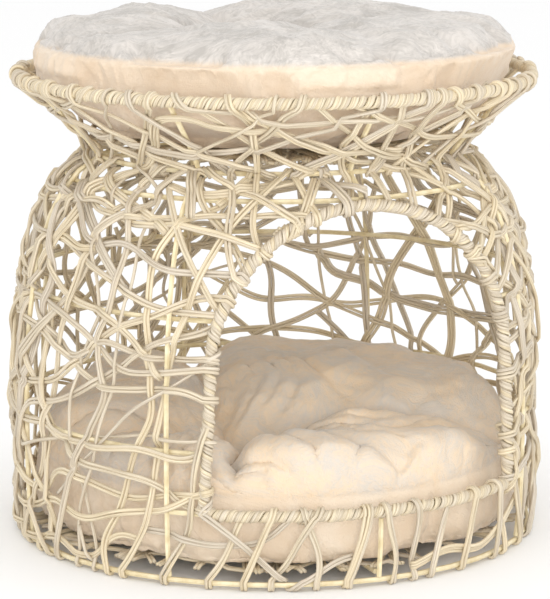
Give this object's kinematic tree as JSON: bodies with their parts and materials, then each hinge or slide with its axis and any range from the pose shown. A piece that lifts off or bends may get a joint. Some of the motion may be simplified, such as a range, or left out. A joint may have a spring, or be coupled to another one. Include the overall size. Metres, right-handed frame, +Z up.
{
  "type": "wicker pet house",
  "caption": "Two-level wicker pet house: domed cave with an arched door, flared bowl bed on top, a loose plush cushion in each.",
  "frame": {"origin": "centre of the footprint, on the surface that the house stands on", "axes": "+Z up; the door faces -Y; +X is to the right when the door is looked at"},
  "size_m": [0.5002, 0.4995, 0.469],
  "materials": {
    "cream_wire": "cream yellow painted wire, satin",
    "strand": "natural straw-coloured rush strands, matt, uneven tone",
    "silver_plush": "crushed short-pile plush, silvery cream sheen",
    "peach_plush": "short-pile plush, pale peach",
    "filling": "white fibre filling"
  },
  "bodies": {
    "basket": {"base_ring": "cream_wire", "lower_hoop": "cream_wire", "middle_hoop": "cream_wire", "shoulder_hoop": "cream_wire", "neck_ring": "cream_wire", "rim_ring": "cream_wire", "wall_rib_front_right": "cream_wire", "wall_rib_right": "cream_wire", "wall_rib_back_right": "cream_wire", "wall_rib_back": "cream_wire", "wall_rib_back_left": "cream_wire", "wall_rib_left": "cream_wire", "wall_rib_front_left": "cream_wire", "sill_rib": "cream_wire", "arch_rib": "cream_wire", "bowl_rib_front": "cream_wire", "bowl_rib_front_right": "cream_wire", "bowl_rib_right": "cream_wire", "bowl_rib_back_right": "cream_wire", "bowl_rib_back": "cream_wire", "bowl_rib_back_left": "cream_wire", "bowl_rib_left": "cream_wire", "bowl_rib_front_left": "cream_wire", "door_arch_wire": "cream_wire", "door_sill_bar": "cream_wire", "cave_floor_wire_across": "cream_wire", "cave_floor_wire_lengthwise": "cream_wire", "bowl_floor_wire_across": "cream_wire", "bowl_floor_wire_lengthwise": "cream_wire", "wall_weave_front_right": "strand", "wall_weave_right_front": "strand", "wall_weave_right_back": "strand", "wall_weave_back_right": "strand", "wall_weave_back_left": "strand", "wall_weave_left_back": "strand", "wall_weave_left_front": "strand", "wall_weave_front_left": "strand", "bowl_weave_right_front": "strand", "bowl_weave_right_back": "strand", "bowl_weave_left_back": "strand", "bowl_weave_left_front": "strand", "cave_floor_weave": "strand", "bowl_floor_weave": "strand", "rim_binding": "strand", "arch_binding": "strand", "sill_binding": "strand"},
    "upper_cushion": {"upper_cushion_top_panel": "silver_plush", "upper_cushion_side_band": "peach_plush", "upper_cushion_bottom_panel": "silver_plush", "upper_cushion_filling": "filling"},
    "lower_cushion": {"lower_cushion_top_panel": "silver_plush", "lower_cushion_side_band": "peach_plush", "lower_cushion_bottom_panel": "silver_plush", "lower_cushion_filling": "filling"}
  },
  "joints": [
    {"name": "upper_cushion_lift", "type": "slide", "parent": "basket", "child": "upper_cushion", "axis": [0, 0, 1], "range_m": [0, 0.12]},
    {"name": "lower_cushion_lift", "type": "slide", "parent": "basket", "child": "lower_cushion", "axis": [0, 0, 1], "range_m": [0, 0.15]}
  ]
}
